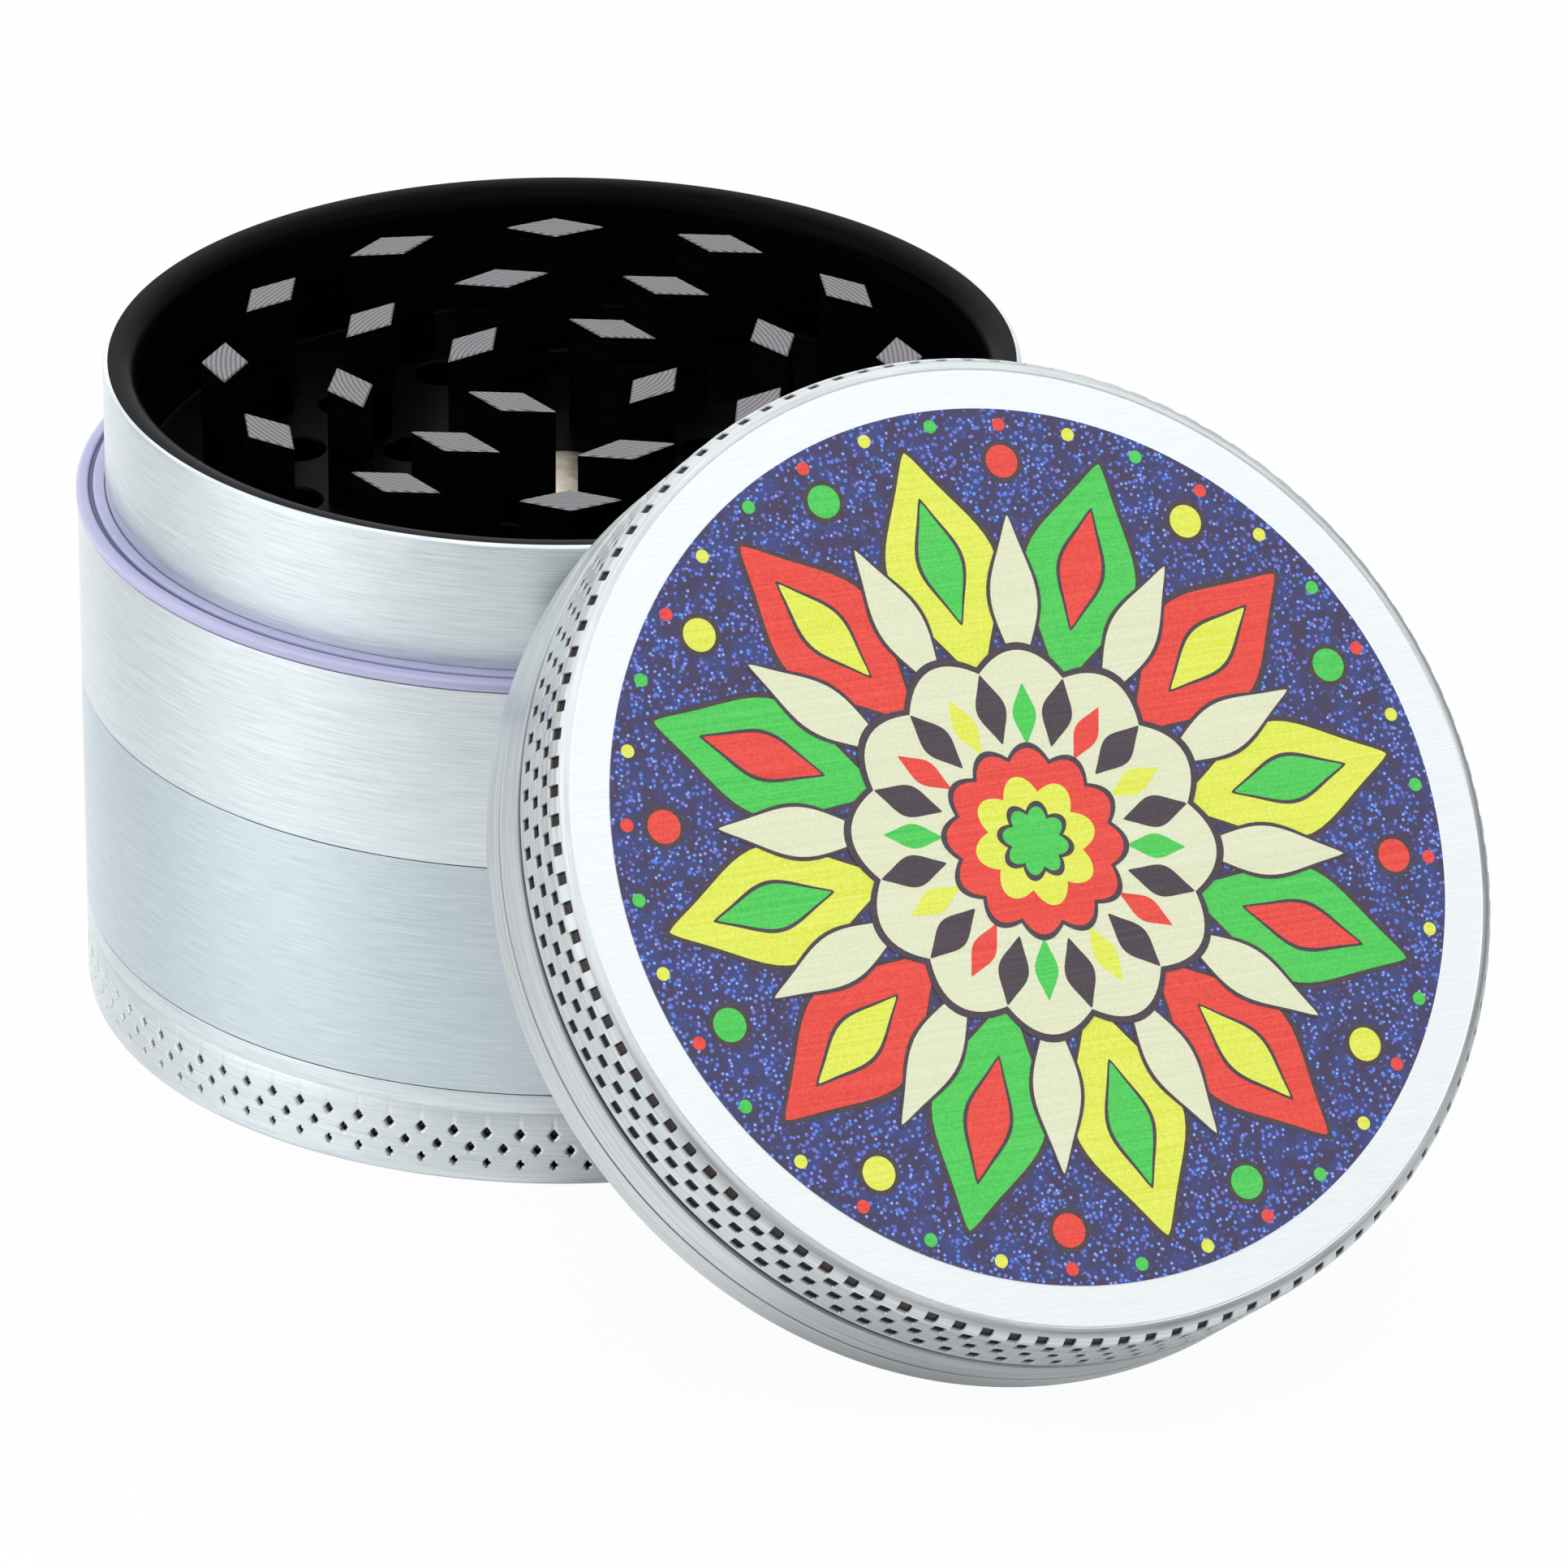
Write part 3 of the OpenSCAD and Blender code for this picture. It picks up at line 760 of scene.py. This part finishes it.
def teeth(rings, root, tip_z, step_down):
    """Diamond prisms standing in rings. At angle f round a tooth the outline is
    1 / (|cos f| / width + |sin f| / length) from its middle, and the tip is drawn in a
    little for its worn edge. Each ring's tips lie step_down nearer the root."""
    f = steps_round(16)[:, None]
    out = 1 / (np.abs(np.cos(f)) / TOOTH_HALF_W + np.abs(np.sin(f)) / TOOTH_HALF_L)
    inset = TOOTH_EDGE / TOOTH_HALF_W
    share = np.array([0, 1, 1, 1 - inset, 0])
    side = math.copysign(1, tip_z - root)
    x, y = out * np.cos(f) * share, out * np.sin(f) * share
    grids = []
    for order, (count, radius, first) in enumerate(rings):
        tip = tip_z - side * order * step_down
        height = np.array([root, root, tip - side * TOOTH_EDGE, tip, tip])
        for k in range(count):
            turn = math.radians(first) + k * TURN / count
            east, north = x + radius, y
            grids.append((np.stack([
                east * math.cos(turn) - north * math.sin(turn),
                east * math.sin(turn) + north * math.cos(turn),
                height + 0 * x], -1), np.array([0, 0, 1, 1]), 0))
    return grids


def magnet(low, high, radius):
    """Outline of a small disc magnet with rounded edges."""
    return turned(rounded([(0, low), (radius, low, 0.15), (radius, high, 0.15),
                           (0, high)]), steps_round(96))


def grip_ring():
    """Thin moulded washer round the foot of the neck: a round outer bead, a groove along
    the middle of its top, and a flat land against the neck."""
    inner, outer = NECK_R + 0.05, grip_top[0]
    low, high = grip_low[2], grip_top[2]
    groove, half, deep = (inner + outer) / 2, 0.175, 0.2
    outline = rounded([
        (inner, low), (outer, low, 0.12), (outer, high, 0.25),
        (groove + half, high, 0.1), (groove + 0.06, high - deep, 0.05),
        (groove - 0.06, high - deep, 0.05), (groove - half, high, 0.08),
        (inner, high, 0.06), (inner, low)], steps=6)
    r, z = outline.T
    # in_groove, deeper in the groove, is how much painted shade the lavender gets there
    in_groove = np.clip((high - z) / deep, 0, 1) * (np.abs(r - groove) < half)
    piece("grip_ring_moulding", [(turned(outline), 0, in_groove)], [lavender],
          "tooth_rise", ["grip_ring"], sharp=60)


tooth_chamber()
piece("chamber_tooth_set", teeth(TOOTH_RINGS, FLOOR_Z, tips_top[2], TOOTH_STEP_DOWN),
      [coating, tip], "tooth_chamber", ["chamber_teeth"])
piece("chamber_magnet_disc", [(magnet(magnet_low[2], magnet_top[2], MAGNET_R), 0, 0)],
      [nickel], "tooth_chamber", ["chamber_magnet"])
grip_ring()


# ---------------------------------------------------------------- lid

def lid_angles():
    """Angles round the lid that fall on the edges and floors of its pits: four in each
    pit of the even rows and four in each pit of the odd rows."""
    pitch = TURN / LID_PITS
    edges = np.array([-LID_PIT_HALF_W, LID_PIT_SLOPE - LID_PIT_HALF_W,
                      LID_PIT_HALF_W - LID_PIT_SLOPE, LID_PIT_HALF_W]) / BODY_R
    steps = np.concatenate([edges, edges + pitch / 2])
    return (LID_PIT_START + np.arange(LID_PITS)[:, None] * pitch + steps).ravel()


def pit_heights(height, half):
    """Heights at the edges and the floor of a row of the lid's pits."""
    return [height - half, height - half + LID_PIT_SLOPE,
            height + half - LID_PIT_SLOPE, height + half]


def groove(z, width, depth):
    """Outline points of a groove turned into the skirt."""
    return [(BODY_R, z), (BODY_R - depth, z + depth / 4),
            (BODY_R - depth, z + width - depth / 4), (BODY_R, z + width)]


def rounding(z):
    """Radius of the lid at a height on the rounding of its face, a quarter ellipse."""
    up = np.clip((np.array(z) - (LID_H - FACE_ROUND_H)) / FACE_ROUND_H, 0, 1)
    return BODY_R - FACE_ROUND_W + FACE_ROUND_W * np.sqrt(1 - up ** 2)


def lid():
    """Skirt with two grooves and four rows of square pits, rounded over into a flat
    brushed face; coated inside, with a boss for the magnet."""
    skirt, face, coated = 0, 1, 2
    rows = {z for height, half, _ in LID_PIT_ROWS for z in pit_heights(height, half)}
    arc = LID_H - FACE_ROUND_H * (1 - np.sin(np.linspace(0, math.pi / 2, 9)))
    heights = np.array(sorted({*rows, *arc}))
    heights = heights[(heights <= LID_H) & (heights > WIDE_GROOVE[0] + WIDE_GROOVE[1])]
    outside = rounded([
        (LID_BORE_R, 0.5), (LID_BORE_R, 0, 0.12), (BODY_R, 0, 0.15),
        *groove(*THIN_GROOVE), *groove(*WIDE_GROOVE),
        *np.column_stack([rounding(heights), heights])])
    face_start = BODY_R - FACE_ROUND_W
    boss_r, boss_z = MAGNET_R + 0.65, lid_magnet_low[2]
    seat_r = MAGNET_R + 0.05
    pocket_z = lid_magnet_top[2] + 0.05
    inside = rounded([
        (0, pocket_z), (seat_r, pocket_z), (seat_r, boss_z), (boss_r, boss_z, 0.12),
        (boss_r, LID_DEPTH, 0.2), (LID_BORE_R, LID_DEPTH, 0.25), (LID_BORE_R, 0.5)])

    def push(a, r, z):
        return -LID_PIT_DEPTH * square_pit(a, r, z)

    angles = lid_angles()
    r, z = outside.T
    in_groove = (r < BODY_R - 0.05) & (z > THIN_GROOVE[0]) & (z < sum(WIDE_GROOVE[:2]))
    # Painted shade for the material: full in the pits, less in the two turned grooves.
    pit = np.maximum(square_pit(angles[:, None], r, z), GROOVE_PAINTED_SHADE * in_groove)
    flat = np.array([[face_start, LID_H], [face_start - 0.06, LID_H - 0.05],
                     [face_start - 0.12, LID_H], [0, LID_H]])
    grids = [(turned(outside, angles, push), skirt, pit),
             (turned(flat, angles), face, 0),
             (turned(inside, angles), coated, 0)]
    piece("lid_shell", grids, [lid_bare, lid_face, lid_coating], "lid",
          ["lid"], lid_frame=True, sharp=28)


lid()
piece("lid_tooth_set", teeth(LID_TOOTH_RINGS, LID_DEPTH, LID_TIPS_Z, 0),
      [lid_coating, lid_tip], "lid", ["lid_teeth"], lid_frame=True)
piece("lid_magnet_disc", [(magnet(lid_magnet_low[2], lid_magnet_top[2], MAGNET_R), 0, 0)],
      [lid_nickel], "lid_carriage", ["lid_magnet"], lid_frame=True)


# ---------------------------------------------------------------- print on the lid

INK_T = 0.008               # height that each layer of ink adds


def ink_shape(x, y, layer):
    """One flat patch of ink. x and y are its outline, round the point in their middle:
    the surface runs from that point to the outline, down its edge and back below."""
    middle_x, middle_y = x.mean(), y.mean()
    top = PRINT_Z + layer * INK_T
    share = np.array([0, 0.5, 1, 1, 0])
    z = np.array([top, top, top, LID_H, LID_H])
    return np.stack([middle_x + (x - middle_x)[:, None] * share,
                     middle_y + (y - middle_y)[:, None] * share,
                     z + 0 * x[:, None]], -1), 0, 0


def petals(count, near, far, half, first, layer, grow=0.0, start=0, step=1):
    """A ring of pointed petals: the half width at share u of the length is
    half * sin(pi u)^0.75 * (1.15 - 0.3 cos(2 pi u)), pointing away from the middle."""
    u = (1 - np.cos(np.linspace(0, math.pi, 33))) / 2
    width = (half + grow) * np.sin(math.pi * u) ** 0.75 * (1.15 - 0.3 * np.cos(TURN * u)) / 1.45
    along = near - grow + (far - near + 2.2 * grow) * u
    x = np.concatenate([along, along[-2:0:-1]])
    y = np.concatenate([width, -width[-2:0:-1]])
    shapes = []
    for k in range(start, count, step):
        a = math.radians(first) + k * TURN / count
        shapes.append(ink_shape(x * math.cos(a) - y * math.sin(a),
                                x * math.sin(a) + y * math.cos(a), layer))
    return shapes


def dots(count, radius, size, first, layer, start=0, step=1):
    """A ring of round dots."""
    f = steps_round(28)
    shapes = []
    for k in range(start, count, step):
        a = math.radians(first) + k * TURN / count
        shapes.append(ink_shape(radius * math.cos(a) + size * np.cos(f),
                                radius * math.sin(a) + size * np.sin(f), layer))
    return shapes


def scallop(count, radius, wave, layer, turn=0.0):
    """A disc with a scalloped edge: radius + wave * |cos(count f / 2)|."""
    f = steps_round(count * 16)
    edge = radius + wave * np.abs(np.cos(count * (f - math.radians(turn)) / 2))
    return ink_shape(edge * np.cos(f), edge * np.sin(f), layer)


def print_on_lid():
    """A turning rosette of petals, beads and scallops on a glittering round field."""
    field = ink_shape(PRINT_R * np.cos(steps_round(360)), PRINT_R * np.sin(steps_round(360)), 0)
    line, thin = 0.32, 0.2

    def coloured(order):
        """What is printed in one of the three bright colours, which take turns."""
        after = (order + 1) % 3
        return [*petals(12, *big, 0, 2, start=order, step=3),
                *petals(12, *inlay, 0, 4, start=after, step=3),
                *dots(12, 19.4, 0.85, 15, 2, start=after, step=3),
                *dots(36, 21.3, 0.34, 5, 1, start=order, step=3),
                *petals(12, *spark, 15, 9, start=order, step=3)]

    big, inlay, small = (8.2, 20.2, 3.0), (11.4, 17.6, 1.1), (8.2, 16.6, 1.25)
    spark = (4.9, 8.0, 0.62)
    layers = {
        "print_field": (glitter, [field]),
        "print_outlines": (ink_line, [
            *petals(12, *big, 0, 1, grow=line), *petals(12, *inlay, 0, 3, grow=thin),
            *petals(12, *small, 15, 5, grow=thin), *dots(12, 19.4, 1.12, 15, 1),
            scallop(12, 9.0, 1.1, 7, 15), *petals(12, 5.0, 8.6, 0.8, 0, 9),
            scallop(12, 4.3, 0.7, 10, 15), scallop(8, 1.55, 0.5, 12, 22.5)]),
        "print_yellow": (ink_yellow, [*coloured(0), scallop(8, 2.5, 0.8, 11)]),
        "print_red": (ink_red, [*coloured(1), scallop(12, 4.05, 0.65, 10.5, 15)]),
        "print_green": (ink_green, [*coloured(2), scallop(8, 1.3, 0.45, 13, 22.5)]),
        "print_cream": (ink_cream, [
            *petals(12, *small, 15, 6), scallop(12, 8.65, 1.05, 8, 15)]),
    }
    for name, (ink, shapes) in layers.items():
        stands_for = ["lid_print"] if name == "print_field" else []
        piece(name, shapes, [ink], "lid", stands_for, lid_frame=True)


print_on_lid()


# ---------------------------------------------------------------- floor, light, camera

# Levels of the room that metal mirrors, and its bright places as azimuth, power, gain
ROOM_DIM = 0.34
ROOM_BRIGHT = ((-160, 6, 1.45), (100, 4, 1.25))
ROOM_TOP = 1.35
ROOM_LIGHT = 0.55           # what the room adds to plain, unmirrored light
FLOOR_SATIN = 0.7           # share of the room in what metal mirrors of the floor
FLOOR_GLOW = 0.2            # share of plain white in it


def facing(tree, way, azimuth, power):
    """How far a direction points to a place in the room: the cosine of the angle
    between them, nought behind, raised to a power that narrows it."""
    towards = (math.cos(math.radians(azimuth)), math.sin(math.radians(azimuth)), 0)
    cosine = add(tree, "ShaderNodeVectorMath", {0: way, 1: towards}, operation="DOT_PRODUCT")
    ahead = add(tree, "ShaderNodeMath", {0: cosine.outputs["Value"], 1: 0.0},
                operation="MAXIMUM").outputs[0]
    return add(tree, "ShaderNodeMath", {0: ahead, 1: power}, operation="POWER").outputs[0]


def room_level(tree, way, dim, bright_places):
    """Level of the room in a direction: dim in front, and brighter towards each place,
    which is given by its azimuth, its power and what it adds."""
    level = dim
    for azimuth, power, gain in bright_places:
        level = add(tree, "ShaderNodeMath", {
            0: facing(tree, way, azimuth, power), 1: gain, 2: level},
            operation="MULTIPLY_ADD").outputs[0]
    return level


def seen_or_mirrored(tree):
    """Light path outputs: 1 for camera and transmission rays, and 1 for glossy rays."""
    path = add(tree, "ShaderNodeLightPath").outputs
    direct = add(tree, "ShaderNodeMath", {
        0: path["Is Camera Ray"], 1: path["Is Transmission Ray"]}, operation="MAXIMUM")
    return direct.outputs[0], path["Is Glossy Ray"]


def floor():
    """Plain white sweep, wide enough to run out of view. Its satin face sends the room
    on to the metal above it, bright from the left and behind and dimmer from the front."""
    half = 2.0
    mesh = bpy.data.meshes.new("floor")
    corners = np.array([[-half, -half, 0], [half, -half, 0], [half, half, 0], [-half, half, 0]])
    mesh.from_pydata(corners - np.array([0, 0, 0.02 * MM]), [], [(0, 1, 2, 3)])
    material, tree = new_material("white_paper")
    direct, mirrored = seen_or_mirrored(tree)
    paper = add(tree, "ShaderNodeBsdfDiffuse", {"Color": srgb("#F4F4F4")})
    satin = add(tree, "ShaderNodeBsdfPrincipled", {
        "Base Color": srgb("#FFFFFF"), "Metallic": 1.0, "Roughness": 0.3})
    sheet = add(tree, "ShaderNodeMixShader", {
        0: times(tree, mirrored, FLOOR_SATIN), 1: paper.outputs[0], 2: satin.outputs[0]})
    white = add(tree, "ShaderNodeEmission", {"Color": srgb("#FFFFFF"), "Strength": 1.0})
    share = add(tree, "ShaderNodeMath", {
        0: times(tree, direct, 0.955), 1: times(tree, mirrored, FLOOR_GLOW)},
        operation="ADD")
    surface = add(tree, "ShaderNodeMixShader", {
        0: share.outputs[0], 1: sheet.outputs[0], 2: white.outputs[0]}).outputs[0]
    add(tree, "ShaderNodeOutputMaterial", {"Surface": surface})
    mesh.materials.append(material)
    made = bpy.data.objects.new("floor", mesh)
    bpy.context.scene.collection.objects.link(made)


def light():
    """A white room, one broad lamp at the left and a weaker one at the right."""
    scene = bpy.context.scene
    scene.view_settings.view_transform = "Standard"
    world = bpy.data.worlds.new("white_room")
    world.use_nodes = True
    tree = world.node_tree
    tree.nodes.clear()
    direct, mirrored = seen_or_mirrored(tree)
    way = add(tree, "ShaderNodeTexCoord").outputs["Generated"]
    low = room_level(tree, way, ROOM_DIM, ROOM_BRIGHT)
    height = add(tree, "ShaderNodeSeparateXYZ", {0: way}).outputs["Z"]
    overhead = remap(tree, height, 0.46, 0.6, 0.0, 1.0)
    mirror_level = add(tree, "ShaderNodeMix", {0: overhead, 2: low, 3: ROOM_TOP}).outputs[0]
    plain = add(tree, "ShaderNodeMix", {0: direct, 2: ROOM_LIGHT, 3: 1.0}).outputs[0]
    level = add(tree, "ShaderNodeMix", {0: mirrored, 2: plain, 3: mirror_level}).outputs[0]
    room = add(tree, "ShaderNodeBackground", {"Color": srgb("#FFFFFF"), "Strength": level})
    add(tree, "ShaderNodeOutputWorld", {"Surface": room.outputs[0]})
    scene.world = world
    for name, place, size, power in (
            ("key_left", (-0.42, -0.16, 0.34), 0.34, 1.1),
            ("fill_right", (0.36, -0.34, 0.36), 0.30, 0.5),
            ("top", (0.02, 0.10, 0.60), 0.40, 0.9)):
        lamp = bpy.data.lights.new(name, "AREA")
        lamp.size = size
        lamp.energy = power
        holder = bpy.data.objects.new(name, lamp)
        holder.visible_glossy = False       # metal mirrors the room's own levels
        scene.collection.objects.link(holder)
        aim = -unit(place)
        east = unit(np.cross(aim, [0, 0, 1]))
        turn = Matrix(np.column_stack([east, np.cross(east, aim), -aim]).tolist())
        holder.matrix_world = Matrix.Translation(place) @ turn.to_4x4()


def camera():
    """A long lens a little over 0.4 m away, looking down at the stack by 26 degrees."""
    distance, height = 441.874, 229.858
    yaw, pitch, roll = 0.0262963, 0.4609452, 0.0119274
    focal_pixels, frame_pixels, sensor = 11586.17, 1932, 36.0
    ahead = np.array([math.sin(yaw) * math.cos(pitch), math.cos(yaw) * math.cos(pitch),
                      -math.sin(pitch)])
    level = np.array([math.cos(yaw), -math.sin(yaw), 0.0])
    above = np.cross(level, ahead)
    right = math.cos(roll) * level + math.sin(roll) * above
    up = math.cos(roll) * above - math.sin(roll) * level
    lens = bpy.data.cameras.new("camera")
    lens.sensor_width = sensor
    lens.lens = focal_pixels / frame_pixels * sensor
    lens.clip_start, lens.clip_end = 0.01, 10
    holder = bpy.data.objects.new("camera", lens)
    bpy.context.scene.collection.objects.link(holder)
    turn = Matrix(np.column_stack([right, up, -ahead]).tolist()).to_4x4()
    holder.matrix_world = Matrix.Translation((0, -distance * MM, height * MM)) @ turn
    bpy.context.scene.camera = holder


floor()
light()
camera()
